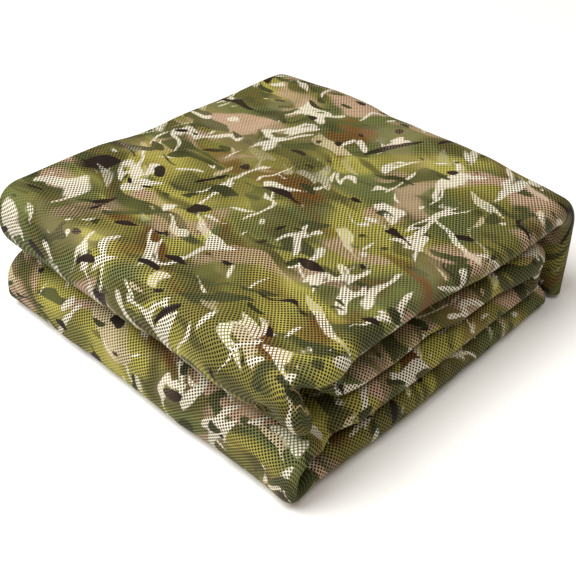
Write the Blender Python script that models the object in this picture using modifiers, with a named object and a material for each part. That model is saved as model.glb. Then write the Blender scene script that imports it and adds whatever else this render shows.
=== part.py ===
"""Folded camouflage netting: one cut length of printed mesh cloth.

The cloth is folded lengthwise into a strip of four plies, and the strip is folded back and
forth into a square packet of four layers.

Metres, +Z up. The origin is the middle of the packet's footprint, on the surface it rests on.
-Y is the side with the two rounded fold ends, and +X the side with the layers' rounded edges.
"""

from typing import NamedTuple

import bmesh
import bpy
import numpy as np

MM = 0.001

# Driving sizes
WIDTH = 300 * MM
DEPTH = 305 * MM
SHEET = 1.4 * MM
PLY_PITCH = 7.4 * MM
LAYER_PITCH = 27.0 * MM
NODE = "camouflage_netting"

# Sizes that follow from them
OUTER_BEND = 1.5 * PLY_PITCH
INNER_BEND = 0.5 * PLY_PITCH
LAYER_HALF = OUTER_BEND + SHEET / 2
LAYER_GAP = LAYER_PITCH - 2 * LAYER_HALF
FOLD_BEND = LAYER_PITCH / 2
EDGE_LINE = WIDTH / 2 - LAYER_HALF
FRONT_LINE = DEPTH / 2 - FOLD_BEND - LAYER_HALF
SHOULDER_BEND = 16 * MM
HANGING_LINE = DEPTH / 2 - LAYER_HALF
BACK_LINE = HANGING_LINE - LAYER_PITCH - FOLD_BEND
TOP_RUN = HANGING_LINE - SHOULDER_BEND + FRONT_LINE
TOP_LAYER = LAYER_HALF + 3 * LAYER_PITCH
HANGING_END = 6 * MM
INNER_SETBACK = 7 * MM
FREE_EDGE = 6 * MM
FREE_END = 28 * MM
THINNING_FROM = 0.55
THINNING_OVER = 0.40
UNDERSIDE = 12 * MM


class Move(NamedTuple):
    """One stretch of a folding line: a straight run, or a turn of a given radius."""

    name: str
    length: float
    turn: float
    radius: float
    steps: int


# Across the strip, from the free edge under it to the free edge inside it
STRIP = (
    Move("outer ply below", EDGE_LINE + WIDTH / 2 - FREE_EDGE, 0, 0, 7),
    Move("rounded edge", 0, 180, OUTER_BEND, 8),
    Move("outer ply above", EDGE_LINE + WIDTH / 2 - FREE_EDGE, 0, 0, 7),
    Move("first fold", 0, 180, INNER_BEND, 4),
    Move("inner ply above", EDGE_LINE + WIDTH / 2 - FREE_EDGE - INNER_SETBACK, 0, 0, 6),
    Move("inner edge", 0, -180, INNER_BEND, 4),
    Move("inner ply below", EDGE_LINE + WIDTH / 2 - FREE_EDGE - INNER_SETBACK, 0, 0, 6),
)

# Along the strip, from the end that hangs over the back to the end under the packet
PACKET = (
    Move("hanging end", TOP_LAYER - SHOULDER_BEND - HANGING_END, 0, 0, 4),
    Move("shoulder", 0, 90, SHOULDER_BEND, 5),
    Move("top layer", TOP_RUN, 0, 0, 7),
    Move("upper fold", 0, 180, FOLD_BEND, 9),
    Move("second layer", FRONT_LINE + BACK_LINE, 0, 0, 8),
    Move("back fold", 0, -180, FOLD_BEND, 8),
    Move("third layer", FRONT_LINE + BACK_LINE, 0, 0, 8),
    Move("lower fold", 0, 180, FOLD_BEND, 9),
    Move("bottom layer", FRONT_LINE + DEPTH / 2 - FREE_END, 0, 0, 7),
)


class EdgeRow(NamedTuple):
    """The strip's sides at one place along it, a share of one stretch of PACKET.

    right and left are how far each side reaches past its line, fullness is how much of its
    height the rounded edge keeps, and lean how far what is left of it draws to the outside
    of the folds, from -1 to 1.
    """

    stretch: str
    share: float
    right: float
    left: float
    fullness: float
    lean: float


EDGE = (
    EdgeRow("hanging end", 0.00, -6 * MM, 0 * MM, 0.60, 0.5),
    EdgeRow("shoulder", 0.50, -4 * MM, 0 * MM, 0.90, 0.2),
    EdgeRow("top layer", 0.30, -5 * MM, 0 * MM, 1.00, 0.0),
    EdgeRow("top layer", 0.60, -10 * MM, 0 * MM, 1.00, 0.0),
    EdgeRow("top layer", 1.00, -9 * MM, 0 * MM, 1.00, 0.0),
    EdgeRow("upper fold", 0.50, -5 * MM, 0 * MM, 0.90, 0.0),
    EdgeRow("upper fold", 0.80, -5 * MM, 0 * MM, 0.80, 0.0),
    EdgeRow("upper fold", 1.00, -34 * MM, 1 * MM, 0.50, 0.0),
    EdgeRow("second layer", 0.08, -36 * MM, 2 * MM, 0.50, 0.6),
    EdgeRow("second layer", 0.14, -8 * MM, 2 * MM, 0.50, 0.7),
    EdgeRow("second layer", 0.22, -6 * MM, 2 * MM, 0.40, 0.8),
    EdgeRow("second layer", 0.36, -6 * MM, 2 * MM, 0.35, 0.8),
    EdgeRow("second layer", 0.52, -10 * MM, 2 * MM, 0.35, 0.8),
    EdgeRow("second layer", 0.66, 0 * MM, 1 * MM, 0.60, 0.6),
    EdgeRow("second layer", 1.00, -1 * MM, 0 * MM, 0.95, 0.0),
    EdgeRow("back fold", 0.50, -10 * MM, 0 * MM, 0.80, 0.0),
    EdgeRow("third layer", 0.00, -5 * MM, 2 * MM, 0.90, 0.0),
    EdgeRow("third layer", 0.80, -3 * MM, 4 * MM, 0.95, -0.5),
    EdgeRow("third layer", 0.91, -9 * MM, 4 * MM, 0.60, -0.8),
    EdgeRow("third layer", 1.00, -2 * MM, 4 * MM, 0.90, 0.0),
    EdgeRow("lower fold", 0.30, -1 * MM, 4 * MM, 0.60, 0.8),
    EdgeRow("lower fold", 0.50, -1 * MM, 4 * MM, 0.40, 1.0),
    EdgeRow("lower fold", 0.75, -4 * MM, 4 * MM, 0.40, 1.0),
    EdgeRow("bottom layer", 0.02, -5 * MM, 4 * MM, 0.60, 0.3),
    EdgeRow("bottom layer", 0.10, -4 * MM, 4 * MM, 0.80, 0.0),
    EdgeRow("bottom layer", 0.30, -3 * MM, 3 * MM, 1.00, 0.0),
    EdgeRow("bottom layer", 1.00, -6 * MM, 0 * MM, 1.00, 0.0),
)


class LevelRow(NamedTuple):
    """Height at which the top of one layer settles, at five places of the packet."""

    left: float
    back: float
    front: float
    middle: float
    right: float


LEVELS = (
    LevelRow(0 * MM, 0 * MM, 0 * MM, 0 * MM, 0 * MM),
    LevelRow(24 * MM, 21 * MM, 30 * MM, 25 * MM, 20 * MM),
    LevelRow(46 * MM, 43 * MM, 54 * MM, 49 * MM, 40 * MM),
    LevelRow(74 * MM, 65 * MM, 81 * MM, 76 * MM, 66 * MM),
    LevelRow(105 * MM, 88 * MM, 105 * MM, 101 * MM, 95 * MM),
)


class Crease(NamedTuple):
    """A soft ridge or trough: every point near the line from start to end is pushed."""

    name: str
    start: tuple
    end: tuple
    spread: float
    push: tuple


CREASES = (
    Crease("weight on the lower fold", (-150, -144, 3), (150, -144, 3), 15, (0, -8, 0)),
    Crease("foot of the front corner", (146, -150, 4), (147, -149, 4), 16, (2, -2, 0)),
    Crease("square of the left corner", (-146, -138, 96), (-146, -60, 98), 30, (-2, -2, 4)),
    Crease("swell of the back", (-70, 153, 85), (90, 153, 85), 60, (0, 3, 6)),
    Crease("square of the right corner", (142, 142, 90), (144, 142, 80), 22, (-1, 1, 1)),
    Crease("dip by the right corner", (115, 20, 98), (125, 85, 95), 20, (0, 0, -4)),
    Crease("tuck in the fold's end", (139, -137, 90), (129, -114, 84), 9, (-9, 2, 1)),
    Crease("lobe over the tuck", (140, -122, 91), (136, -104, 87), 11, (4, -2, -3)),
    Crease("swell of the lobe", (136, -142, 102), (120, -146, 100), 13, (2, -4, 0)),
    Crease("knob under the tuck", (140, -145, 64), (138, -130, 66), 12, (7, -3, 1)),
    Crease("pocket beside the knob", (140, -118, 50), (142, -104, 50), 10, (-5, 2, -4)),
    Crease("slot under the top layer", (150, -100, 64), (150, 40, 58), 14, (-4, 0, -3)),
    Crease("drag line, inner", (60, -64, 106), (98, -152, 72), 10, (0, 2, -2.5)),
    Crease("drag line, middle", (20, -74, 106), (48, -154, 70), 12, (0, 2, -2)),
    Crease("drag line, outer", (-60, -94, 104), (-66, -154, 75), 14, (0, 2, -2)),
    Crease("swell between drag lines", (60, -114, 104), (74, -152, 80), 16, (0, -2, 2)),
)


def walk(start, heading, moves):
    """Follow the moves from a start point; returns points, unit headings and places."""
    points = [np.array(start, float)]
    angles = [np.radians(heading)]
    places = [0.0]
    for index, move in enumerate(moves):
        bend = np.radians(move.turn) / move.steps
        chord = move.length / move.steps
        if move.turn:
            chord = 2 * move.radius * np.sin(abs(bend) / 2)
        for step in range(move.steps):
            middle = angles[-1] + bend / 2
            ahead = np.array((np.cos(middle), np.sin(middle)))
            points.append(points[-1] + chord * ahead)
            angles.append(angles[-1] + bend)
            places.append(index + (step + 1) / move.steps)
    headings = np.stack((np.cos(angles), np.sin(angles)), axis=1)
    return np.array(points), headings, np.array(places)


def ease(share):
    """Smooth step from 0 to 1."""
    share = np.clip(share, 0, 1)
    return share * share * (3 - 2 * share)


def eased(at, places, values):
    """Values read between their places with a smooth step from each to the next."""
    index = np.clip(np.searchsorted(places, at, side="right") - 1, 0, len(places) - 2)
    low, high = np.take(places, index), np.take(places, index + 1)
    share = ease((at - low) / (high - low))
    return np.take(values, index) * (1 - share) + np.take(values, index + 1) * share


def edge_columns(places):
    """Right and left reach, fullness and lean of the strip at every place along it."""
    names = [move.name for move in PACKET]
    at = [names.index(row.stretch) + row.share for row in EDGE]
    rows = (
        [row.right for row in EDGE],
        [row.left for row in EDGE],
        [row.fullness for row in EDGE],
        [row.lean for row in EDGE],
    )
    return [eased(places, at, row)[:, None] for row in rows]


def folded_points():
    """Middle of the sheet at every grid point, as folded and before it settles."""
    section, _, _ = walk((-WIDTH / 2 + FREE_EDGE, -OUTER_BEND), 0, STRIP)
    start = (HANGING_LINE, HANGING_END)
    course, headings, places = walk(start, 90, PACKET)
    normals = np.stack((headings[:, 1], -headings[:, 0]), axis=1)
    right, left, fullness, lean = edge_columns(places)
    across, lift = section[None, :, 0], section[None, :, 1]
    side = across / (WIDTH / 2)
    x = across + right * ease(side) - left * ease(-side)
    thinned = (1 - fullness) * ease((side - THINNING_FROM) / THINNING_OVER)
    height = lift * (1 - thinned) + lean * OUTER_BEND * thinned
    y = course[:, 0, None] + normals[:, 0, None] * height
    z = course[:, 1, None] + normals[:, 1, None] * height
    return np.stack((x, y, z), axis=2)


def settled(points):
    """The packet's uneven heights: the top of each layer comes to its own level."""
    x, y, z = points.T
    rightward = np.clip(x / WIDTH + 0.5, 0, 1)
    backward = np.clip(y / DEPTH + 0.5, 0, 1)
    folded = [max(0, layer * LAYER_PITCH - LAYER_GAP / 2) for layer in range(len(LEVELS))]
    left, back, front, middle, right = np.array(LEVELS).T
    near = [l + (b - l) * backward for l, b in zip(left, back)]
    first = (1 - backward) * (1 - 2 * backward)
    second = 4 * backward * (1 - backward)
    third = backward * (2 * backward - 1)
    far = [f * first + m * second + r * third for f, m, r in zip(front, middle, right)]
    levels = [n + (f - n) * rightward for n, f in zip(near, far)]
    raised = np.zeros_like(z)
    for low, high, below, above in zip(folded, folded[1:], levels, levels[1:]):
        share = np.clip((z - low) / (high - low), 0, 1)
        raised += share * (above - below)
    return np.stack((x, y, raised), axis=1)


def creased(points):
    """The points after every crease has pushed them, with the underside kept flat."""
    moved = points.copy()
    for crease in CREASES:
        start = np.array(crease.start) * MM
        line = np.array(crease.end) * MM - start
        along = (points - start) @ line / max(line @ line, MM * MM)
        nearest = start + np.clip(along, 0, 1)[:, None] * line
        distance = np.linalg.norm(points - nearest, axis=1) / (crease.spread * MM)
        moved += np.exp(-distance**2)[:, None] * np.array(crease.push) * MM
    free = ease(points[:, 2] / UNDERSIDE)
    moved[:, 2] = points[:, 2] + (moved[:, 2] - points[:, 2]) * free
    return moved


def centred(points):
    """The points with the middle of their footprint at x = y = 0 and their lowest at z = 0."""
    low, high = points.min(axis=0), points.max(axis=0)
    return points - np.array(((low[0] + high[0]) / 2, (low[1] + high[1]) / 2, low[2]))


def cloth_material():
    """Printed polyester mesh, olive green on average."""
    material = bpy.data.materials.new("printed polyester mesh")
    material.use_nodes = True
    shader = material.node_tree.nodes["Principled BSDF"]
    shader.inputs["Base Color"].default_value = (0.130, 0.138, 0.045, 1)
    shader.inputs["Roughness"].default_value = 0.75
    shader.inputs["Metallic"].default_value = 0.0
    return material


def sheet_object(collection):
    """The sheet at its folded places, given its thickness, then settled and creased."""
    places = folded_points()
    along, across = places.shape[:2]
    grid = bmesh.new()
    bmesh.ops.create_grid(grid, x_segments=across - 1, y_segments=along - 1, size=1)
    for vertex in grid.verts:
        column = round((vertex.co.x + 1) / 2 * (across - 1))
        row = round((vertex.co.y + 1) / 2 * (along - 1))
        vertex.co = places[row, column]
    mesh = bpy.data.meshes.new(NODE)
    grid.to_mesh(mesh)
    grid.free()
    sheet = bpy.data.objects.new(NODE, mesh)
    collection.objects.link(sheet)

    wall = sheet.modifiers.new("wall", "SOLIDIFY")
    wall.thickness = SHEET
    wall.offset = 0
    evaluated = sheet.evaluated_get(bpy.context.evaluated_depsgraph_get())
    walled = bpy.data.meshes.new_from_object(evaluated)
    sheet.modifiers.clear()
    sheet.data = walled
    walled.name = NODE

    points = np.empty(len(walled.vertices) * 3)
    walled.vertices.foreach_get("co", points)
    points = centred(creased(settled(points.reshape(-1, 3))))
    walled.vertices.foreach_set("co", points.ravel())
    walled.update()
    return sheet


def make_outward(mesh):
    """Turn every face of the closed wall outwards."""
    shell = bmesh.new()
    shell.from_mesh(mesh)
    bmesh.ops.recalc_face_normals(shell, faces=shell.faces)
    shell.to_mesh(mesh)
    shell.free()


def main():
    """Clear the scene and build the netting."""
    for item in list(bpy.data.objects):
        bpy.data.objects.remove(item)
    collection = bpy.data.collections.new("camouflage netting")
    bpy.context.scene.collection.children.link(collection)
    sheet = sheet_object(collection)
    make_outward(sheet.data)
    sheet.data.materials.clear()
    sheet.data.materials.append(cloth_material())


main()
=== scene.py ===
"""Looks of the folded camouflage netting.

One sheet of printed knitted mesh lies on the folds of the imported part: a strip of four plies,
folded back and forth into a packet of four layers. Metres, +Z up, in the part's own frame.
"""

import logging
import math
from dataclasses import dataclass, field
from enum import Enum

import bpy
import numpy as np
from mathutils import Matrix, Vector


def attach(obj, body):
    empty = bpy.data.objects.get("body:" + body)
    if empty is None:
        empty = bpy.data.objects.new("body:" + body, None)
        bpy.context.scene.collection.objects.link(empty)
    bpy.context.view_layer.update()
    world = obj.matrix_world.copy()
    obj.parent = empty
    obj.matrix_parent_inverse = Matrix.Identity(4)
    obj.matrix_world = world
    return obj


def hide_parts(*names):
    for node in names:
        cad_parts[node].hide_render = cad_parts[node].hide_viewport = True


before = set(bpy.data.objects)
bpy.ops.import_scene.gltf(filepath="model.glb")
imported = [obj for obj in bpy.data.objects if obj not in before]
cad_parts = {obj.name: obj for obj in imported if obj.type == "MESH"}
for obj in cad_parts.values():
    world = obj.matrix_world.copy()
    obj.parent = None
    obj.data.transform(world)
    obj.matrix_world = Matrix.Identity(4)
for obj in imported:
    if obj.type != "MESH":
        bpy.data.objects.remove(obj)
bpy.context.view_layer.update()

MM = 0.001
NODE = "camouflage_netting"
LOG = logging.getLogger("netting")

# Numbers of a colour mix node's own sockets: the names occur more than once on it.
MIX_SHARE, MIX_LOW, MIX_HIGH, MIX_COLOUR = 0, 6, 7, 2
# Row and column steps from a face's first corner to each of its corners.
FACE_CORNERS = ((0, 0), (0, 1), (1, 1), (1, 0))
# A place this much before a run's start still counts as its start.
PLACE_SLACK = 0.001

Triple = tuple[float, float, float]
Socket = bpy.types.NodeSocket


class Run(Enum):
    """A stretch along the strip, in the order in which it is folded."""

    HANGING_END = 0
    SHOULDER = 1
    TOP_LAYER = 2
    UPPER_FOLD = 3
    SECOND_LAYER = 4
    BACK_FOLD = 5
    THIRD_LAYER = 6
    LOWER_FOLD = 7
    BOTTOM_LAYER = 8


@dataclass(frozen=True)
class Move:
    """One stretch of a folding line: a straight run, or a turn of a given radius.

    gather draws the steps of a straight run together: towards its end above 0, towards its
    start below 0.
    """

    length: float
    turn: float
    radius: float
    steps: int
    gather: float = 0.0


@dataclass(frozen=True)
class EdgeRow:
    """The strip's sides at one place along it.

    right and left are how far they reach past their lines in mm, fullness is how much of its
    height the rounded edge keeps, and lean how far the edge draws to the packet's outside.
    """

    run: Run
    share: float
    right: float
    left: float
    fullness: float
    lean: float = 0.0


@dataclass(frozen=True)
class LevelRow:
    """Height in mm at which the top of one layer settles, at five places of the packet."""

    left: float
    back: float
    front: float
    middle: float
    right: float


@dataclass(frozen=True)
class Crease:
    """A soft ridge or trough in mm: what lies near the line from start to end is pushed."""

    name: str
    start: Triple
    end: Triple
    spread: float
    push: Triple


@dataclass(frozen=True)
class Ripple:
    """A faint wave through the packet: its length in mm on each axis, height in mm and start."""

    pace: Triple
    height: Triple
    start: float


@dataclass(frozen=True)
class Patch:
    """A stretch of the sheet and the rectangle that it fills on the map for flat pictures.

    rows are places along the strip, as a run's number plus a share of it, and columns are
    places across the strip in the same way.
    """

    rows: tuple[float, float]
    columns: tuple[float, float]
    low: tuple[float, float]
    high: tuple[float, float]


EDGE = (
    EdgeRow(Run.HANGING_END, 0.0, -6, 0, 0.60, 0.5),
    EdgeRow(Run.SHOULDER, 0.5, -4, 0, 0.90, 0.2),
    EdgeRow(Run.TOP_LAYER, 0.3, -5, 0, 1.00),
    EdgeRow(Run.TOP_LAYER, 0.6, -10, 0, 1.00),
    EdgeRow(Run.TOP_LAYER, 1.0, -9, 0, 1.00),
    EdgeRow(Run.UPPER_FOLD, 0.5, -5, 0, 0.90),
    EdgeRow(Run.UPPER_FOLD, 0.8, -5, 0, 0.80),
    EdgeRow(Run.UPPER_FOLD, 1.0, -34, 1, 0.50),
    EdgeRow(Run.SECOND_LAYER, 0.08, -36, 2, 0.50, 0.6),
    EdgeRow(Run.SECOND_LAYER, 0.14, -8, 2, 0.50, 0.7),
    EdgeRow(Run.SECOND_LAYER, 0.22, -6, 2, 0.40, 0.8),
    EdgeRow(Run.SECOND_LAYER, 0.36, -6, 2, 0.35, 0.8),
    EdgeRow(Run.SECOND_LAYER, 0.52, -10, 2, 0.35, 0.8),
    EdgeRow(Run.SECOND_LAYER, 0.66, 0, 1, 0.60, 0.6),
    EdgeRow(Run.SECOND_LAYER, 1.0, -1, 0, 0.95),
    EdgeRow(Run.BACK_FOLD, 0.5, -10, 0, 0.80),
    EdgeRow(Run.THIRD_LAYER, 0.0, -5, 2, 0.90),
    EdgeRow(Run.THIRD_LAYER, 0.80, -3, 4, 0.95, -0.5),
    EdgeRow(Run.THIRD_LAYER, 0.91, -9, 4, 0.60, -0.8),
    EdgeRow(Run.THIRD_LAYER, 1.0, -2, 4, 0.90),
    EdgeRow(Run.LOWER_FOLD, 0.3, -1, 4, 0.60, 0.8),
    EdgeRow(Run.LOWER_FOLD, 0.5, -1, 4, 0.40, 1.0),
    EdgeRow(Run.LOWER_FOLD, 0.75, -4, 4, 0.40, 1.0),
    EdgeRow(Run.BOTTOM_LAYER, 0.02, -5, 4, 0.60, 0.3),
    EdgeRow(Run.BOTTOM_LAYER, 0.10, -4, 4, 0.80, 0.0),
    EdgeRow(Run.BOTTOM_LAYER, 0.3, -3, 3, 1.00),
    EdgeRow(Run.BOTTOM_LAYER, 1.0, -6, 0, 1.00),
)

LEVELS = (
    LevelRow(0, 0, 0, 0, 0),
    LevelRow(24, 21, 30, 25, 20),
    LevelRow(46, 43, 54, 49, 40),
    LevelRow(74, 65, 81, 76, 66),
    LevelRow(105, 88, 105, 101, 95),
)

CREASES = (
    Crease("weight on the lower fold", (-150, -144, 3), (150, -144, 3), 15, (0, -8, 0)),
    Crease("foot of the front corner", (146, -150, 4), (147, -149, 4), 16, (2, -2, 0)),
    Crease("square of the left corner", (-146, -138, 96), (-146, -60, 98), 30, (-2, -2, 4)),
    Crease("swell of the back", (-70, 153, 85), (90, 153, 85), 60, (0, 3, 6)),
    Crease("square of the right corner", (142, 142, 90), (144, 142, 80), 22, (-1, 1, 1)),
    Crease("dip by the right corner", (115, 20, 98), (125, 85, 95), 20, (0, 0, -4)),
    Crease("tuck in the fold's end", (139, -137, 90), (129, -114, 84), 7, (-12, 2, 1)),
    Crease("lobe over the tuck", (140, -122, 91), (136, -104, 87), 11, (4, -2, -3)),
    Crease("swell of the lobe", (136, -142, 102), (120, -146, 100), 13, (2, -4, 0)),
    Crease("knob under the tuck", (140, -145, 64), (138, -130, 66), 12, (7, -3, 1)),
    Crease("pocket beside the knob", (140, -118, 50), (142, -104, 50), 8, (-6, 2, -6)),
    Crease("pleat across the knob", (118, -147, 72), (142, -141, 86), 5, (-2, 6, 0)),
    Crease("slit along the crease", (112, -152, 70), (128, -150, 65), 4, (0, 5, -1)),
    Crease("slot under the top layer", (150, -100, 64), (150, 60, 58), 15, (-8, 0, -4)),
    Crease("seam between the rolls", (-150, -152, 44), (120, -152, 53), 7, (0, 4, 0)),
    Crease("drag line, inner", (60, -64, 106), (98, -152, 72), 10, (0, 2, -2.5)),
    Crease("drag line, middle", (20, -74, 106), (45, -152, 80), 12, (0, 1.5, -2)),
    Crease("drag line, outer", (-60, -94, 104), (-66, -150, 90), 14, (0, 1, -1.5)),
    Crease("swell between drag lines", (60, -114, 104), (74, -152, 80), 16, (0, -2, 2)),
)

RIPPLES = (
    Ripple((120, 190, 80), (0.0, 0.3, 0.5), 0.4),
    Ripple((-170, 95, 110), (0.2, 0.3, 0.5), 1.9),
    Ripple((62, -98, 70), (0.15, 0.15, 0.25), 3.1),
    Ripple((41, 71, -65), (0.1, 0.1, 0.16), 5.2),
    Ripple((260, 39, 60), (0.2, 0.1, 0.12), 2.4),
)

PATCHES = (
    Patch((0, 4), (0.9, 4.1), (0.002, 0.002), (0.660, 0.840)),
    Patch((7, 8), (0.9, 4.1), (0.002, 0.846), (0.660, 0.998)),
    Patch((4, 7), (0.9, 2.1), (0.666, 0.002), (0.796, 0.640)),
    Patch((8, 9), (0.9, 2.1), (0.666, 0.646), (0.796, 0.998)),
    Patch((8, 9), (2.1, 4.1), (0.802, 0.646), (0.998, 0.998)),
    Patch((4, 7), (2.1, 4.1), (0.802, 0.002), (0.864, 0.640)),
    Patch((0, 9), (0.0, 0.9), (0.870, 0.002), (0.930, 0.640)),
    Patch((0, 9), (4.1, 7.0), (0.936, 0.002), (0.998, 0.640)),
)


def linear(hex_colour: str) -> tuple[float, float, float, float]:
    """Turn a colour into linear light.

    Args:
        hex_colour: sRGB colour, such as "#8a8040".

    Returns:
        Linear red, green, blue and an alpha of 1.
    """
    shares = [int(hex_colour[i : i + 2], 16) / 255 for i in (1, 3, 5)]
    light = [s / 12.92 if s <= 0.04045 else ((s + 0.055) / 1.055) ** 2.4 for s in shares]
    return (*light, 1.0)


def ease(share: np.ndarray) -> np.ndarray:
    """Smooth a rise from 0 to 1.

    Args:
        share: how far along the rise, also below 0 and above 1.

    Returns:
        The smoothed share, from 0 to 1.
    """
    share = np.clip(share, 0, 1)
    return share * share * (3 - 2 * share)


def eased(at: np.ndarray, places: list[float], values: list[float]) -> np.ndarray:
    """Read values between their places, with a smooth step from each to the next.

    Args:
        at: where to read.
        places: places of the values, rising.
        values: one value for each place.

    Returns:
        A value for each entry of at.
    """
    index = np.clip(np.searchsorted(places, at, side="right") - 1, 0, len(places) - 2)
    low, high = np.take(places, index), np.take(places, index + 1)
    share = ease((at - low) / (high - low))
    return np.take(values, index) * (1 - share) + np.take(values, index + 1) * share


def walk(
    start: tuple[float, float], heading: float, moves: tuple[Move, ...]
) -> tuple[np.ndarray, np.ndarray, np.ndarray]:
    """Follow the moves of a folding line.

    Args:
        start: first point.
        heading: first direction in degrees.
        moves: stretches, in order.

    Returns:
        Points, unit headings, and places as the move's number plus the share of it.
    """
    points = [np.array(start, float)]
    angles = [math.radians(heading)]
    places = [0.0]
    for index, move in enumerate(moves):
        bend = math.radians(move.turn) / move.steps
        at = np.linspace(0, 1, move.steps + 1)
        at = at + move.gather * at * (1 - at)
        for step in range(move.steps):
            chord = move.length * (at[step + 1] - at[step])
            if move.turn:
                chord = 2 * move.radius * math.sin(abs(bend) / 2)
            middle = angles[-1] + bend / 2
            ahead = np.array((math.cos(middle), math.sin(middle)))
            points.append(points[-1] + chord * ahead)
            angles.append(angles[-1] + bend)
            places.append(index + at[step + 1])
    headings = np.stack((np.cos(angles), np.sin(angles)), axis=1)
    return np.array(points), headings, np.array(places)


def add_node(tree: bpy.types.NodeTree, kind: str, inputs: dict, **settings) -> bpy.types.Node:
    """Add one shader node.

    Args:
        tree: the material's node tree.
        kind: the node's type name.
        inputs: a value or another node's output, by input name or number.
        settings: the node's own settings.

    Returns:
        The node.
    """
    node = tree.nodes.new(kind)
    for name, value in settings.items():
        setattr(node, name, value)
    for name, value in inputs.items():
        if isinstance(value, bpy.types.NodeSocket):
            tree.links.new(value, node.inputs[name])
        else:
            node.inputs[name].default_value = value
    return node


@dataclass(frozen=True)
class Blotch:
    """One ink of the print: the usual length of its blotches, their shape and their cover.

    length is in mm, narrow is length over width, turn is the lie in degrees, level is the
    noise value above which the ink shows, soft the width of its border in noise values,
    detail how much finer noise frays that border, fade from 0 to 1 how much of the ink thins
    out in wide passages, curl how far its blotches bend and branch, and seed where in the
    noise it starts. An ink with streak above 0 lies in thin marks, broader with streak,
    where a second noise is above level.
    """

    name: str
    ink: str
    length: float
    narrow: float
    turn: float
    level: float
    soft: float
    detail: float
    fade: float
    curl: float
    seed: float
    streak: float = 0.0


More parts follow.
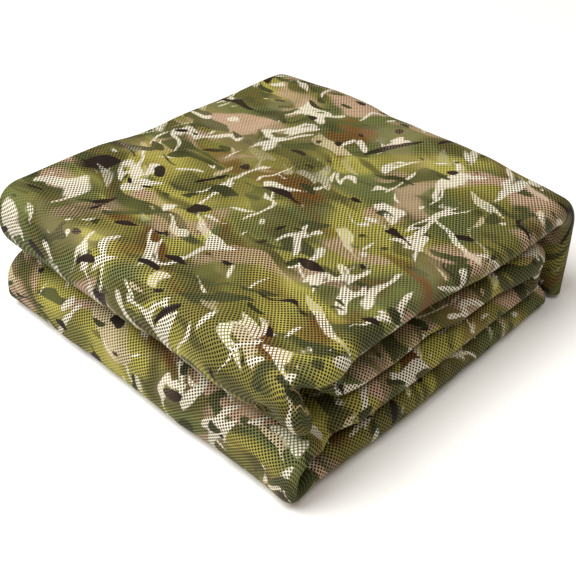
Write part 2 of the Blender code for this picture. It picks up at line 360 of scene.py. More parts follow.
@dataclass(frozen=True)
class KnittedMesh:
    """Warp-knitted polyester mesh, printed, with small round holes in staggered rows.

    The matt yarn gives a rough face with little sheen, and the holes a fine grid that bends
    with every fold. The holes hold painted shade. Where the ply beneath touches, its inks
    show in the holes, in painted shade. Where it stands off, the holes are painted dark
    with shade, with pale specks of that ply here and there.
    """

    name: str = "knitted polyester mesh, camouflage print"
    ground: str = "#7a7434"
    # shadow is the colour of the painted shade in the holes.
    shadow: str = "#120b05"

    # The holes of one set of rows are 3.1 mm apart. The second set lies half a pitch on both
    # ways, so neighbours are 2.2 mm apart. hole is half the width of an opening.
    pitch: float = 3.1 * MM
    second_rows: Triple = (0.5, 0.5, 0.0)
    lattice_turn: float = 6.0
    hole: float = 0.76 * MM
    hole_edge: float = 0.14 * MM
    hole_squareness: float = 0.4
    hole_slope: Triple = (0.72, 0.72, 0.0)

    # Yarn loops are about 0.3 mm wide, too fine to show, so they are drawn 0.7 mm wide.
    loops_per_metre: float = 1500.0
    loop_height: float = 0.35
    relief: float = 0.35 * MM
    relief_strength: float = 0.6
    yarn_roughness: float = 0.62
    hole_roughness: float = 0.95
    specular: float = 0.2

    # The print wanders by up to 7 mm over about 30 mm, as cloth does when it is folded.
    wander_scale: float = 30.0
    wander_roughness: float = 0.45
    wander_reach: Triple = (0.014, 0.014, 0.0)
    seed_step: Triple = (0.37, 0.53, 1.0)
    border_roughness: float = 0.55

    # Passages that are wider than the blotches, where an ink with fade thins out.
    passage_scale: float = 1.7
    passage_bend: float = 0.2
    passage_from: float = 0.38
    passage_to: float = 0.56

    # Thin marks follow the line where a noise is at its middle value.
    mark_middle: float = 0.5
    mark_scale: Triple = (1.7, 1.5, 1.7)
    mark_shift: Triple = (5.2, 1.3, 9.1)
    mark_bend: float = 0.4
    mark_rise: float = 0.10
    mark_margin: float = -0.03

    # What shows in the holes is painted shade: how far the ply beneath is lit, and how
    # much of it shows.
    ply_shift: Triple = (0.41, 0.23, 0.0)
    ply_ground: str = "#5a5a30"
    contact_scale: float = 26.0
    gap_weight: float = -0.28
    lit_from: float = 0.22
    lit_to: float = 0.5
    lit_most: float = 0.8
    own_shade: float = 0.5
    ply_share: float = 0.3
    speck_dark: float = 0.22
    speck_light: float = 0.48

    blotches: tuple[Blotch, ...] = (
        Blotch("bright olive", "#a69f4a", 140, 1.6, -20, 0.46, 0.16, 1.0, 0.0, 0.4, 11.7),
        Blotch("soft moss", "#646a39", 120, 1.9, 15, 0.53, 0.12, 1.5, 0.0, 0.5, 3.1),
        Blotch("warm brown", "#6c4a1a", 92, 2.3, -14, 0.58, 0.12, 1.5, 0.3, 0.6, 31.9),
        Blotch("pinkish tan", "#b99c80", 104, 1.8, 28, 0.575, 0.045, 1.5, 0.4, 0.7, 23.4),
        Blotch("deep olive", "#5e5a2a", 84, 2.2, -12, 0.57, 0.06, 1.5, 0.4, 0.8, 17.9),
        Blotch("moss green", "#4d5029", 80, 2.2, 10, 0.61, 0.035, 1.5, 0.4, 1.0, 47.3),
        Blotch("moss strokes", "#4d5029", 76, 2.2, 20, 0.55, 0.03, 1.0, 0.0, 0.7, 43.3, 0.06),
        Blotch("stone", "#c2b38c", 60, 2.3, -24, 0.69, 0.014, 1.5, 0.4, 1.0, 53.8),
        Blotch("cream strokes", "#ddd6c0", 96, 2.2, 80, 0.48, 0.016, 1.6, 0.0, 1.0, 70.1, 0.027),
        Blotch("cream twigs", "#ddd6c0", 84, 2.0, -48, 0.505, 0.016, 1.6, 0.0, 1.0, 60.9, 0.029),
        Blotch("cream drops", "#ddd6c0", 30, 1.8, 50, 0.71, 0.016, 0.6, 0.0, 0.8, 71.9),
        Blotch("moss fragments", "#3a3e1a", 26, 1.6, 18, 0.71, 0.02, 0.5, 0.0, 0.6, 75.3),
        Blotch("dark strokes", "#1f120c", 110, 2.4, 70, 0.63, 0.016, 1.2, 0.0, 0.5, 79.5, 0.05),
        Blotch("dark spots", "#22140c", 22, 1.5, 12, 0.74, 0.02, 0.0, 0.0, 0.3, 83.9),
    )
    beneath: tuple[Blotch, ...] = (
        Blotch("olive beneath", "#8f8a45", 60, 2.0, 5, 0.50, 0.10, 0.6, 0.0, 0.3, 101.2),
        Blotch("tan beneath", "#c2a88a", 70, 1.8, -30, 0.57, 0.04, 0.6, 0.0, 0.3, 113.7),
    )
    showing: Blotch = Blotch(
        "cream showing through", "#e8e2d2", 36, 2.4, -25, 0.68, 0.03, 0.6, 0.0, 0.5, 127.3
    )

    def mask(self, tree: bpy.types.NodeTree, where: Socket, blotch: Blotch) -> Socket:
        """Where one ink shows.

        Args:
            tree: the material's node tree.
            where: place on the cloth, in metres.
            blotch: the ink.

        Returns:
            An output from 0 to 1.
        """
        size = blotch.length * MM
        lie = add_node(
            tree,
            "ShaderNodeMapping",
            {
                "Vector": where,
                "Location": [step * blotch.seed for step in self.seed_step],
                "Rotation": (0, 0, math.radians(blotch.turn)),
                "Scale": (size, size / blotch.narrow, 1),
            },
            vector_type="TEXTURE",
        ).outputs[0]
        value = add_node(
            tree,
            "ShaderNodeTexNoise",
            {
                "Vector": lie,
                "Scale": 1.0,
                "Detail": blotch.detail,
                "Roughness": self.border_roughness,
                "Distortion": blotch.curl,
            },
        ).outputs[0]
        level = blotch.level
        if blotch.streak:
            value, level = self.streaked(tree, lie, value, blotch), 0.0
        shown = add_node(
            tree,
            "ShaderNodeMapRange",
            {
                "Value": value,
                "From Min": level - blotch.soft / 2,
                "From Max": level + blotch.soft / 2,
            },
            interpolation_type="SMOOTHSTEP",
        ).outputs[0]
        if not blotch.fade:
            return shown
        passage = add_node(
            tree,
            "ShaderNodeTexNoise",
            {
                "Vector": lie,
                "Scale": self.passage_scale,
                "Detail": 0.0,
                "Distortion": self.passage_bend,
            },
        )
        kept = add_node(
            tree,
            "ShaderNodeMapRange",
            {
                "Value": passage.outputs[0],
                "From Min": self.passage_from,
                "From Max": self.passage_to,
                "To Min": 1 - blotch.fade,
                "To Max": 1.0,
            },
            interpolation_type="SMOOTHSTEP",
        )
        both = add_node(
            tree, "ShaderNodeMath", {0: shown, 1: kept.outputs[0]}, operation="MULTIPLY"
        )
        return both.outputs[0]

    def streaked(
        self, tree: bpy.types.NodeTree, lie: Socket, value: Socket, blotch: Blotch
    ) -> Socket:
        """Keep the thin marks along the middle line of a noise.

        Args:
            tree: the material's node tree.
            lie: place on the cloth, in blotches.
            value: the noise.
            blotch: the ink.

        Returns:
            An output above 0 on the marks.
        """
        off = add_node(
            tree, "ShaderNodeMath", {0: value, 1: self.mark_middle}, operation="SUBTRACT"
        )
        away = add_node(tree, "ShaderNodeMath", {0: off.outputs[0]}, operation="ABSOLUTE")
        moved = add_node(
            tree,
            "ShaderNodeVectorMath",
            {0: lie, 1: self.mark_scale, 2: self.mark_shift},
            operation="MULTIPLY_ADD",
        )
        second = add_node(
            tree,
            "ShaderNodeTexNoise",
            {
                "Vector": moved.outputs[0],
                "Scale": 1.0,
                "Detail": 1.0,
                "Distortion": self.mark_bend,
            },
        )
        room = add_node(
            tree,
            "ShaderNodeMapRange",
            {
                "Value": second.outputs[0],
                "From Min": blotch.level,
                "From Max": blotch.level + self.mark_rise,
                "To Min": self.mark_margin,
                "To Max": blotch.streak,
            },
            interpolation_type="SMOOTHSTEP",
        )
        left = add_node(
            tree,
            "ShaderNodeMath",
            {0: room.outputs[0], 1: away.outputs[0]},
            operation="SUBTRACT",
        )
        return left.outputs[0]

    def printed(
        self, tree: bpy.types.NodeTree, where: Socket, ground: str, blotches: tuple[Blotch, ...]
    ) -> Socket:
        """Lay the inks over one another, in order.

        Args:
            tree: the material's node tree.
            where: place on the cloth, in metres.
            ground: colour under all inks.
            blotches: the inks.

        Returns:
            The colour output.
        """
        colour = linear(ground)
        for blotch in blotches:
            shown = self.mask(tree, where, blotch)
            colour = add_node(
                tree,
                "ShaderNodeMix",
                {MIX_SHARE: shown, MIX_LOW: colour, MIX_HIGH: linear(blotch.ink)},
                data_type="RGBA",
            ).outputs[MIX_COLOUR]
        return colour

    def hole_distance(self, tree: bpy.types.NodeTree, cells: Socket, shift: Triple) -> Socket:
        """Distance to the nearest hole of one set of rows, in pitches.

        Args:
            tree: the material's node tree.
            cells: place on the cloth, in pitches.
            shift: where the set of rows starts, in pitches.

        Returns:
            An output that is 0 at the middle of a hole.
        """
        moved = add_node(
            tree, "ShaderNodeVectorMath", {0: cells, 1: shift}, operation="ADD"
        )
        within = add_node(
            tree, "ShaderNodeVectorMath", {0: moved.outputs[0]}, operation="FRACTION"
        )
        centred = add_node(
            tree,
            "ShaderNodeVectorMath",
            {0: within.outputs[0], 1: (0.5, 0.5, 0.0)},
            operation="SUBTRACT",
        )
        apart = add_node(
            tree, "ShaderNodeVectorMath", {0: centred.outputs[0]}, operation="ABSOLUTE"
        )
        circle = add_node(
            tree, "ShaderNodeVectorMath", {0: apart.outputs[0]}, operation="LENGTH"
        )
        diamond = add_node(
            tree,
            "ShaderNodeVectorMath",
            {0: apart.outputs[0], 1: self.hole_slope},
            operation="DOT_PRODUCT",
        )
        blend = add_node(
            tree,
            "ShaderNodeMix",
            {0: self.hole_squareness, 2: circle.outputs["Value"], 3: diamond.outputs["Value"]},
            data_type="FLOAT",
        )
        return blend.outputs[0]

    def holes(self, tree: bpy.types.NodeTree, where: Socket) -> Socket:
        """Where the mesh is open.

        Args:
            tree: the material's node tree.
            where: place on the cloth, in metres.

        Returns:
            An output that is 1 in a hole and 0 on the yarn.
        """
        cells = add_node(
            tree,
            "ShaderNodeMapping",
            {
                "Vector": where,
                "Rotation": (0, 0, math.radians(self.lattice_turn)),
                "Scale": (1 / self.pitch, 1 / self.pitch, 1),
            },
            vector_type="POINT",
        )
        first = self.hole_distance(tree, cells.outputs[0], (0.0, 0.0, 0.0))
        second = self.hole_distance(tree, cells.outputs[0], self.second_rows)
        nearest = add_node(
            tree, "ShaderNodeMath", {0: first, 1: second}, operation="MINIMUM"
        )
        opening = add_node(
            tree,
            "ShaderNodeMapRange",
            {
                "Value": nearest.outputs[0],
                "From Min": (self.hole - self.hole_edge) / self.pitch,
                "From Max": (self.hole + self.hole_edge) / self.pitch,
                "To Min": 1.0,
                "To Max": 0.0,
            },
            interpolation_type="SMOOTHSTEP",
        )
        return opening.outputs[0]

    def wandering(self, tree: bpy.types.NodeTree, place: Socket) -> Socket:
        """Let the print drift a little over the cloth.

        Args:
            tree: the material's node tree.
            place: place on the cloth, in metres.

        Returns:
            Where the print is read, in metres.
        """
        wander = add_node(
            tree,
            "ShaderNodeTexNoise",
            {
                "Vector": place,
                "Scale": self.wander_scale,
                "Detail": 1.0,
                "Roughness": self.wander_roughness,
            },
            noise_dimensions="2D",
        )
        drift = add_node(
            tree,
            "ShaderNodeVectorMath",
            {0: wander.outputs["Color"], 1: (0.5, 0.5, 0.5)},
            operation="SUBTRACT",
        )
        shifted = add_node(
            tree,
            "ShaderNodeVectorMath",
            {0: drift.outputs[0], 1: self.wander_reach, 2: place},
            operation="MULTIPLY_ADD",
        )
        return shifted.outputs[0]

    def beneath_lit(self, tree: bpy.types.NodeTree, place: Socket, apart: Socket) -> Socket:
        """How far the ply beneath is lit.

        Args:
            tree: the material's node tree.
            place: place on the cloth, in metres.
            apart: 0 where the ply beneath touches and 1 where it stands off.

        Returns:
            An output from 0 to 1.
        """
        contact = add_node(
            tree,
            "ShaderNodeTexNoise",
            {"Vector": place, "Scale": self.contact_scale, "Detail": 1.0},
            noise_dimensions="2D",
        )
        near = add_node(
            tree,
            "ShaderNodeMath",
            {0: apart, 1: self.gap_weight, 2: contact.outputs[0]},
            operation="MULTIPLY_ADD",
        )
        lit = add_node(
            tree,
            "ShaderNodeMapRange",
            {
                "Value": near.outputs[0],
                "From Min": self.lit_from,
                "From Max": self.lit_to,
                "To Min": 0.0,
                "To Max": self.lit_most,
            },
            interpolation_type="SMOOTHSTEP",
        )
        return lit.outputs[0]

    def specks(
        self, tree: bpy.types.NodeTree, below: Socket, inks: Socket, apart: Socket
    ) -> Socket:
        """Where pale ink of the ply beneath shows in the holes of the darker inks.

        Args:
            tree: the material's node tree.
            below: place on the ply beneath, in metres.
            inks: colour of the print.
            apart: 0 where the ply beneath touches and 1 where it stands off.

        Returns:
            An output from 0 to 1.
        """
        pale = add_node(
            tree,
            "ShaderNodeMath",
            {0: self.mask(tree, below, self.showing), 1: apart},
            operation="MULTIPLY",
        )
        grey = add_node(tree, "ShaderNodeRGBToBW", {"Color": inks})
        darker = add_node(
            tree,
            "ShaderNodeMapRange",
            {
                "Value": grey.outputs[0],
                "From Min": self.speck_dark,
                "From Max": self.speck_light,
                "To Min": 1.0,
                "To Max": 0.0,
            },
        )
        specks = add_node(
            tree,
            "ShaderNodeMath",
            {0: pale.outputs[0], 1: darker.outputs[0]},
            operation="MULTIPLY",
        )
        return specks.outputs[0]

    def depth(
        self, tree: bpy.types.NodeTree, place: Socket, where: Socket, inks: Socket, gap: str
    ) -> Socket:
        """Colour that shows in the holes: painted shade over the inks and the ply beneath.

        Args:
            tree: the material's node tree.
            place: place on the cloth, in metres.
            where: where the print is read, in metres.
            inks: colour of the print.
            gap: name of the attribute that tells how far the ply beneath stands off.

        Returns:
            The colour output.
        """
        below = add_node(
            tree, "ShaderNodeVectorMath", {0: where, 1: self.ply_shift}, operation="ADD"
        ).outputs[0]
        apart = add_node(tree, "ShaderNodeAttribute", {}, attribute_name=gap).outputs["Fac"]
        shadow = linear(self.shadow)
        shaded = add_node(
            tree,
            "ShaderNodeMix",
            {MIX_SHARE: self.own_shade, MIX_LOW: inks, MIX_HIGH: shadow},
            data_type="RGBA",
        ).outputs[MIX_COLOUR]
        ply = self.printed(tree, below, self.ply_ground, self.beneath)
        seen = add_node(
            tree,
            "ShaderNodeMix",
            {MIX_SHARE: self.ply_share, MIX_LOW: shaded, MIX_HIGH: ply},
            data_type="RGBA",
        ).outputs[MIX_COLOUR]
        lit = self.beneath_lit(tree, place, apart)
        # Painted shade: the holes go to the shadow colour where the ply beneath is not lit.
        dim = add_node(
            tree,
            "ShaderNodeMix",
            {MIX_SHARE: lit, MIX_LOW: shadow, MIX_HIGH: seen},
            data_type="RGBA",
        ).outputs[MIX_COLOUR]
        specks = self.specks(tree, below, inks, apart)
        specked = add_node(
            tree,
            "ShaderNodeMix",
            {MIX_SHARE: specks, MIX_LOW: dim, MIX_HIGH: linear(self.showing.ink)},
            data_type="RGBA",
        )
        return specked.outputs[MIX_COLOUR]

    def normal(self, tree: bpy.types.NodeTree, place: Socket, openings: Socket) -> Socket:
        """Sink the holes and raise the yarn's loops.

        Args:
            tree: the material's node tree.
            place: place on the cloth, in metres.
            openings: 1 in a hole and 0 on the yarn.

        Returns:
            The normal output.
        """
        loops = add_node(
            tree,
            "ShaderNodeTexNoise",
            {"Vector": place, "Scale": self.loops_per_metre, "Detail": 1.0},
            noise_dimensions="2D",
        )
        raised = add_node(
            tree,
            "ShaderNodeMath",
            {0: loops.outputs[0], 1: self.loop_height},
            operation="MULTIPLY",
        )
        sunk = add_node(
            tree,
            "ShaderNodeMath",
            {0: raised.outputs[0], 1: openings},
            operation="SUBTRACT",
        )
        bump = add_node(
            tree,
            "ShaderNodeBump",
            {
                "Height": sunk.outputs[0],
                "Distance": self.relief,
                "Strength": self.relief_strength,
            },
        )
        return bump.outputs[0]

    def material(self, cloth_map: str, gap: str) -> bpy.types.Material:
        """Make the material.

        Args:
            cloth_map: name of the UV map that holds the place on the cloth, in metres.
            gap: name of the attribute that tells how far the ply beneath stands off.

        Returns:
            The material.
        """
        material = bpy.data.materials.new(self.name)
        material.use_nodes = True
        tree = material.node_tree
        shader = tree.nodes["Principled BSDF"]
        place = add_node(tree, "ShaderNodeUVMap", {}, uv_map=cloth_map).outputs[0]
        where = self.wandering(tree, place)
        inks = self.printed(tree, where, self.ground, self.blotches)
        openings = self.holes(tree, place)
        # The holes show painted shade instead of a real opening.
        depth = self.depth(tree, place, where, inks, gap)
        colour = add_node(
            tree,
            "ShaderNodeMix",
            {MIX_SHARE: openings, MIX_LOW: inks, MIX_HIGH: depth},
            data_type="RGBA",
        )
        rough = add_node(
            tree,
            "ShaderNodeMapRange",
            {"Value": openings, "To Min": self.yarn_roughness, "To Max": self.hole_roughness},
        )
        tree.links.new(colour.outputs[MIX_COLOUR], shader.inputs["Base Color"])
        tree.links.new(rough.outputs[0], shader.inputs["Roughness"])
        tree.links.new(self.normal(tree, place, openings), shader.inputs["Normal"])
        shader.inputs["Specular IOR Level"].default_value = self.specular
        return material


@dataclass(frozen=True)
class WhiteCard:
    """Matt white card: even and without a reflection."""

    name: str = "matt white card"
    colour: str = "#f4f4f2"
    roughness: float = 0.9

    def material(self) -> bpy.types.Material:
        """Make the material.

        Returns:
            The material.
        """
        material = bpy.data.materials.new(self.name)
        material.use_nodes = True
        shader = material.node_tree.nodes["Principled BSDF"]
        shader.inputs["Base Color"].default_value = linear(self.colour)
        shader.inputs["Roughness"].default_value = self.roughness
        return material


@dataclass
class Netting:
    """The sheet of netting, folded: its sizes, its folds and its finish."""

    width: float = 300 * MM
    depth: float = 305 * MM
    sheet: float = 1.4 * MM
    ply_pitch: float = 7.4 * MM
    layer_pitch: float = 27.0 * MM
    # Radius where the strip turns down over the back, and where its end hangs to.
    shoulder_bend: float = 16 * MM
    hanging_height: float = 6 * MM
    # How far the inner plies, the sheet's long edges and its inner end keep from the outside.
    inner_setback: float = 7 * MM
    free_edge: float = 6 * MM
    free_end: float = 28 * MM
    # Where the rounded edge starts to thin and how soon, as shares of half the width.
    thinning_from: float = 0.55
    thinning_over: float = 0.40
    # Height up to which the creases fade, so that the underside stays flat.
    underside: float = 12 * MM
    # Where the ply beneath stands off, and the holes are painted darker with shade: from the
    # middle forward, by the edges, below the top.
    loose_from: float = -0.5
    loose_over: float = 0.75
    edge_from: float = 0.88
    edge_over: float = 0.1
    top_ply: float = 84 * MM
    below_over: float = 12 * MM
    # Size of the sheet when it is laid flat, in metres.
    flat: tuple[float, float] = (1.17, 1.18)
    finish: KnittedMesh = field(default_factory=KnittedMesh)
    cloth_map: str = "cloth"
    flat_map: str = "OFBake"
    gap: str = "gap beneath"

    @property
    def outer_bend(self) -> float:
        """Radius of the strip's rounded edge."""
        return 1.5 * self.ply_pitch

    @property
    def layer_half(self) -> float:
        """Half the height of one layer."""
        return self.outer_bend + self.sheet / 2

    @property
    def layer_gap(self) -> float:
        """Gap between two layers as folded."""
        return self.layer_pitch - 2 * self.layer_half

    def strip(self) -> tuple[Move, ...]:
        """Moves across the strip, from the free edge under it to the free edge inside it."""
        line = self.width / 2 - self.layer_half
        ply = line + self.width / 2 - self.free_edge
        inner = ply - self.inner_setback
        inner_bend = 0.5 * self.ply_pitch
        return (
            Move(ply, 0, 0, 34, 0.6),
            Move(0, 180, self.outer_bend, 20),
            Move(ply, 0, 0, 104, -0.35),
            Move(0, 180, inner_bend, 8),
            Move(inner, 0, 0, 20),
            Move(0, -180, inner_bend, 8),
            Move(inner, 0, 0, 20),
        )

    def packet(self) -> tuple[Move, ...]:
        """Moves along the strip, from the end over the back to the end under the packet."""
        fold_bend = self.layer_pitch / 2
        front = self.depth / 2 - fold_bend - self.layer_half
        hanging_line = self.depth / 2 - self.layer_half
        back = hanging_line - self.layer_pitch - fold_bend
        top = self.layer_half + 3 * self.layer_pitch
        hanging = top - self.shoulder_bend - self.hanging_height
        return (
            Move(hanging, 0, 0, 24),
            Move(0, 90, self.shoulder_bend, 12),
            Move(hanging_line - self.shoulder_bend + front, 0, 0, 100, 0.3),
            Move(0, 180, fold_bend, 40),
            Move(front + back, 0, 0, 46, -0.3),
            Move(0, -180, fold_bend, 18),
            Move(front + back, 0, 0, 46, 0.3),
            Move(0, 180, fold_bend, 40),
            Move(front + self.depth / 2 - self.free_end, 0, 0, 46, -0.3),
        )

    def folded(self) -> tuple[np.ndarray, np.ndarray]:
        """Fold the sheet.

        Returns:
            Points by row along the strip and column across it, and each row's place.
        """
        first = (-self.width / 2 + self.free_edge, -self.outer_bend)
        section, _, _ = walk(first, 0, self.strip())
        start = (self.depth / 2 - self.layer_half, self.hanging_height)
        course, headings, places = walk(start, 90, self.packet())
        normals = np.stack((headings[:, 1], -headings[:, 0]), axis=1)
        at = [row.run.value + row.share for row in EDGE]
        right = eased(places, at, [row.right * MM for row in EDGE])[:, None]
        left = eased(places, at, [row.left * MM for row in EDGE])[:, None]
        fullness = eased(places, at, [row.fullness for row in EDGE])[:, None]
        lean = eased(places, at, [row.lean for row in EDGE])[:, None]
        across, lift = section[None, :, 0], section[None, :, 1]
        side = across / (self.width / 2)
        x = across + right * ease(side) - left * ease(-side)
        thinned = (1 - fullness) * ease((side - self.thinning_from) / self.thinning_over)
        height = lift * (1 - thinned) + lean * self.outer_bend * thinned
        y = course[:, 0, None] + normals[:, 0, None] * height
        z = course[:, 1, None] + normals[:, 1, None] * height
        return np.stack((x, y, z), axis=2), places

    def settled(self, points: np.ndarray) -> np.ndarray:
        """Bring the top of each layer to its own uneven level.

        Args:
            points: folded points, one a row.

        Returns:
            The points at their heights.
        """
        x, y, z = points.T
        rightward = np.clip(x / self.width + 0.5, 0, 1)
        backward = np.clip(y / self.depth + 0.5, 0, 1)
        folded = [
            max(0, layer * self.layer_pitch - self.layer_gap / 2) for layer in range(len(LEVELS))
        ]
        # Weights of a parabola through the front, the middle and the right of the +X side.
        by_front = (1 - backward) * (1 - 2 * backward)
        by_middle = 4 * backward * (1 - backward)
        by_right = backward * (2 * backward - 1)
        levels = []
        for row in LEVELS:
            near = row.left + (row.back - row.left) * backward
            far = row.front * by_front + row.middle * by_middle + row.right * by_right
            levels.append((near + (far - near) * rightward) * MM)
        raised = np.zeros_like(z)
        for layer in range(len(LEVELS) - 1):
            low, high = folded[layer], folded[layer + 1]
            share = np.clip((z - low) / (high - low), 0, 1)
            raised += share * (levels[layer + 1] - levels[layer])
        return np.stack((x, y, raised), axis=1)

    def creased(self, points: np.ndarray) -> np.ndarray:
        """Push the points by every crease and ripple, with the underside kept flat.

        Args:
            points: settled points, one a row.

        Returns:
            The pushed points.
        """
        moved = points.copy()
        for crease in CREASES:
            start = np.array(crease.start) * MM
            line = np.array(crease.end) * MM - start
            along = (points - start) @ line / (line @ line)
            nearest = start + np.clip(along, 0, 1)[:, None] * line
            distance = np.linalg.norm(points - nearest, axis=1) / (crease.spread * MM)
            moved += np.exp(-(distance**2))[:, None] * np.array(crease.push) * MM
        for ripple in RIPPLES:
            phase = points @ (2 * np.pi / (np.array(ripple.pace) * MM)) + ripple.start
            moved += np.sin(phase)[:, None] * np.array(ripple.height) * MM
        free = ease(points[:, 2] / self.underside)
        moved[:, 2] = points[:, 2] + (moved[:, 2] - points[:, 2]) * free
        return moved

    def centred(self, points: np.ndarray) -> np.ndarray:
        """Move the points so that the packet stands in the middle of the part's box."""
        low, high = points.min(axis=0), points.max(axis=0)
        middle = (low + high) / 2
        return points - np.array((middle[0], middle[1], low[2]))

    def cloth_places(self, points: np.ndarray, places: np.ndarray) -> np.ndarray:
        """Measure where every corner of every face lies on the flat cloth.

        Each layer is measured from its own middle, so that the print and the holes keep
        their size, and what the folds take up shows only in the creases.

        Args:
            points: points by row and column.
            places: each row's place along the strip.

        Returns:
            Metres across and along for each face's four corners.
        """
        across = np.linalg.norm(np.diff(points, axis=1), axis=2)
        across = np.concatenate((np.zeros((len(points), 1)), np.cumsum(across, axis=1)), axis=1)
        moves = self.strip()
        edge = moves[0].steps + moves[1].steps // 2
        across -= across[:, edge : edge + 1]
        steps = np.linalg.norm(np.diff(points, axis=0), axis=2)
        along = np.concatenate((np.zeros((1, points.shape[1])), np.cumsum(steps, axis=0)))
        corners = np.zeros((points.shape[0] - 1, points.shape[1] - 1, 4, 2))
        bounds = (
            (Run.HANGING_END, Run.SECOND_LAYER, Run.TOP_LAYER),
            (Run.SECOND_LAYER, Run.THIRD_LAYER, Run.SECOND_LAYER),
            (Run.THIRD_LAYER, Run.BOTTOM_LAYER, Run.THIRD_LAYER),
            (Run.BOTTOM_LAYER, None, Run.BOTTOM_LAYER),
        )
        for start, stop, main in bounds:
            first = int(np.searchsorted(places, start.value))
            last = len(places) - 1 if stop is None else int(np.searchsorted(places, stop.value))
            anchor = int(np.searchsorted(places, main.value + 0.5))
            own = along - along[anchor] + along[anchor].mean()
            for corner, (row, column) in enumerate(FACE_CORNERS):
                rows = slice(first + row, last + row)
                columns = slice(column, across.shape[1] - 1 + column)
                corners[first:last, :, corner, 0] = across[rows, columns]
                corners[first:last, :, corner, 1] = own[rows, columns]
        return corners

    def flat_places(self) -> np.ndarray:
        """Lay the sheet out on the unit square, with most room for what is seen.

        Returns:
            Two numbers from 0 to 1 for each face's four corners.
        """
        section, _, across = walk((0, 0), 0, self.strip())
        course, _, along = walk((0, 0), 90, self.packet())
        widths = np.linalg.norm(np.diff(section, axis=0), axis=1)
        heights = np.linalg.norm(np.diff(course, axis=0), axis=1)
        corners = np.zeros((len(heights), len(widths), 4, 2))
        for patch in PATCHES:
            ends = np.array(patch.rows) - PLACE_SLACK
            rows = np.arange(*np.searchsorted(along, ends))
            ends = np.array(patch.columns) - PLACE_SLACK
            columns = np.arange(*np.searchsorted(across, ends))
            spans = (widths[columns], heights[rows])
            rises = [np.concatenate(((0.0,), np.cumsum(span))) / span.sum() for span in spans]
            u, v = (
                low + (high - low) * rise for low, high, rise in zip(patch.low, patch.high, rises)
            )
            own = corners[np.ix_(rows, columns)]
            for corner, (row, column) in enumerate(FACE_CORNERS):
                own[:, :, corner, 0] = u[None, column : len(columns) + column]
                own[:, :, corner, 1] = v[row : len(rows) + row, None]
            corners[np.ix_(rows, columns)] = own
        return corners

    def gaps(self, points: np.ndarray) -> np.ndarray:
        """Tell how far the ply beneath stands off, and so how much painted shade fills the holes.

        Args:
            points: points of the sheet, one a row.

        Returns:
            0 where the plies touch, towards the back of the top, and 1 by the rolls and edges.
        """
        forward = points[:, 0] / self.width - points[:, 1] / self.depth
        outward = np.maximum(abs(points[:, 0]) / self.width, abs(points[:, 1]) / self.depth) * 2
        loose = ease((forward - self.loose_from) / self.loose_over)
        edge = ease((outward - self.edge_from) / self.edge_over)
        lower = ease((self.top_ply - points[:, 2]) / self.below_over)
        return np.maximum(np.maximum(loose, edge), lower)

    def build(self) -> None:
        folded, places = self.folded()
        rows, columns = folded.shape[:2]
        points = self.centred(self.creased(self.settled(folded.reshape(-1, 3))))
        numbers = np.arange(rows * columns).reshape(rows, columns)
        faces = np.stack(
            (numbers[:-1, :-1], numbers[:-1, 1:], numbers[1:, 1:], numbers[1:, :-1]), axis=2
        ).reshape(-1, 4)
        mesh = bpy.data.meshes.new("netting")
        mesh.from_pydata(points.tolist(), [], faces.tolist())
        mesh.polygons.foreach_set("use_smooth", [True] * len(faces))
        layer = mesh.uv_layers.new(name=self.cloth_map)
        corners = self.cloth_places(points.reshape(rows, columns, 3), places)
        layer.data.foreach_set("uv", corners.ravel())
        flat_layer = mesh.uv_layers.new(name=self.flat_map)
        flat_layer.data.foreach_set("uv", self.flat_places().ravel())
        gaps = mesh.attributes.new(self.gap, "FLOAT", "POINT")
        gaps.data.foreach_set("value", self.gaps(points))
        mesh.materials.append(self.finish.material(self.cloth_map, self.gap))
        mesh.update()
        netting = bpy.data.objects.new("netting", mesh)
        bpy.context.scene.collection.objects.link(netting)
        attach(netting, "root")
        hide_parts(NODE)
        LOG.info("netting: %d triangles", 2 * len(faces))


@dataclass(frozen=True)
class Lamp:
    """A soft square lamp: where it hangs, the side of its face and its power in watts."""

    place: Triple
    side: float
    power: float


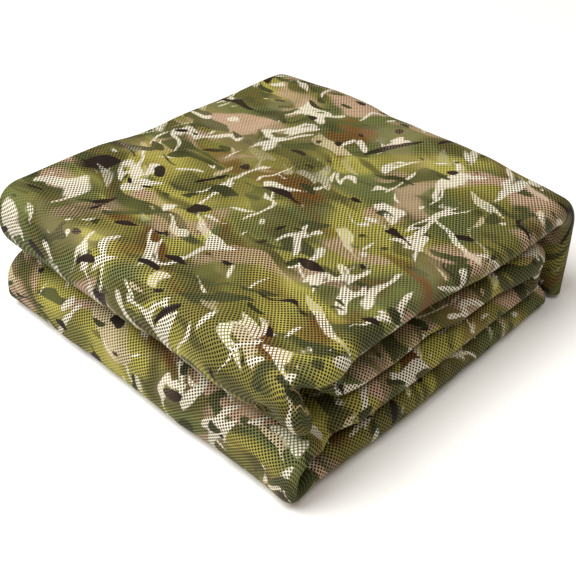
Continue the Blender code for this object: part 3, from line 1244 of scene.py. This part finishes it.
@dataclass
class Studio:
    """White floor, soft light and the camera."""

    floor_side: float = 6.0
    floor_height: float = -0.2 * MM
    floor_finish: WhiteCard = field(default_factory=WhiteCard)
    lamps: tuple[Lamp, ...] = (
        Lamp((-0.5, -1.05, 2.1), 1.7, 76),
        Lamp((1.0, -0.3, 2.3), 1.0, 15),
    )
    lamps_aim: Triple = (0.0, 0.0, 0.05)
    sky: str = "#ffecd8"
    sky_strength: float = 0.29
    camera_place: Triple = (0.4740, -0.4871, 0.5608)
    azimuth: float = 44.5
    elevation: float = 38.98
    lens: float = 72.0
    sensor: float = 36.0

    def floor(self) -> None:
        """Lay the floor."""
        place = (0, 0, self.floor_height)
        bpy.ops.mesh.primitive_plane_add(size=self.floor_side, location=place)
        floor = bpy.context.object
        floor.name = "floor"
        floor.data.materials.append(self.floor_finish.material())
        LOG.info("floor: %.1f m", self.floor_side)

    def hang(self, lamp: Lamp) -> None:
        """Hang a lamp that looks at the packet.

        Args:
            lamp: the lamp.
        """
        bpy.ops.object.light_add(type="AREA", location=lamp.place)
        hung = bpy.context.object
        hung.data.size = lamp.side
        hung.data.energy = lamp.power
        aim = Vector(self.lamps_aim) - Vector(lamp.place)
        hung.rotation_euler = aim.to_track_quat("-Z", "Y").to_euler()

    def world(self) -> None:
        """Light the rest evenly, a little warm."""
        world = bpy.data.worlds.new("soft white")
        world.use_nodes = True
        background = world.node_tree.nodes["Background"]
        background.inputs["Color"].default_value = linear(self.sky)
        background.inputs["Strength"].default_value = self.sky_strength
        bpy.context.scene.world = world
        bpy.context.scene.view_settings.view_transform = "Standard"

    def camera(self) -> None:
        """Set the camera where the photograph was taken from."""
        turn, rise = math.radians(self.azimuth), math.radians(self.elevation)
        back = Vector(
            (math.sin(turn) * math.cos(rise), -math.cos(turn) * math.cos(rise), math.sin(rise))
        )
        bpy.ops.object.camera_add(location=self.camera_place)
        camera = bpy.context.object
        camera.rotation_euler = (-back).to_track_quat("-Z", "Y").to_euler()
        camera.data.lens = self.lens
        camera.data.sensor_width = self.sensor
        camera.data.dof.use_dof = False
        bpy.context.scene.camera = camera

    def build(self) -> None:
        """Set up the floor, the light and the camera."""
        self.floor()
        for lamp in self.lamps:
            self.hang(lamp)
        self.world()
        self.camera()


def main() -> None:
    """Build the netting and the studio, and note the sizes."""
    logging.basicConfig(level=logging.INFO, format="%(name)s: %(message)s")
    Netting().build()
    Studio().build()
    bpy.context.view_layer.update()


if __name__ == "__main__":
    main()
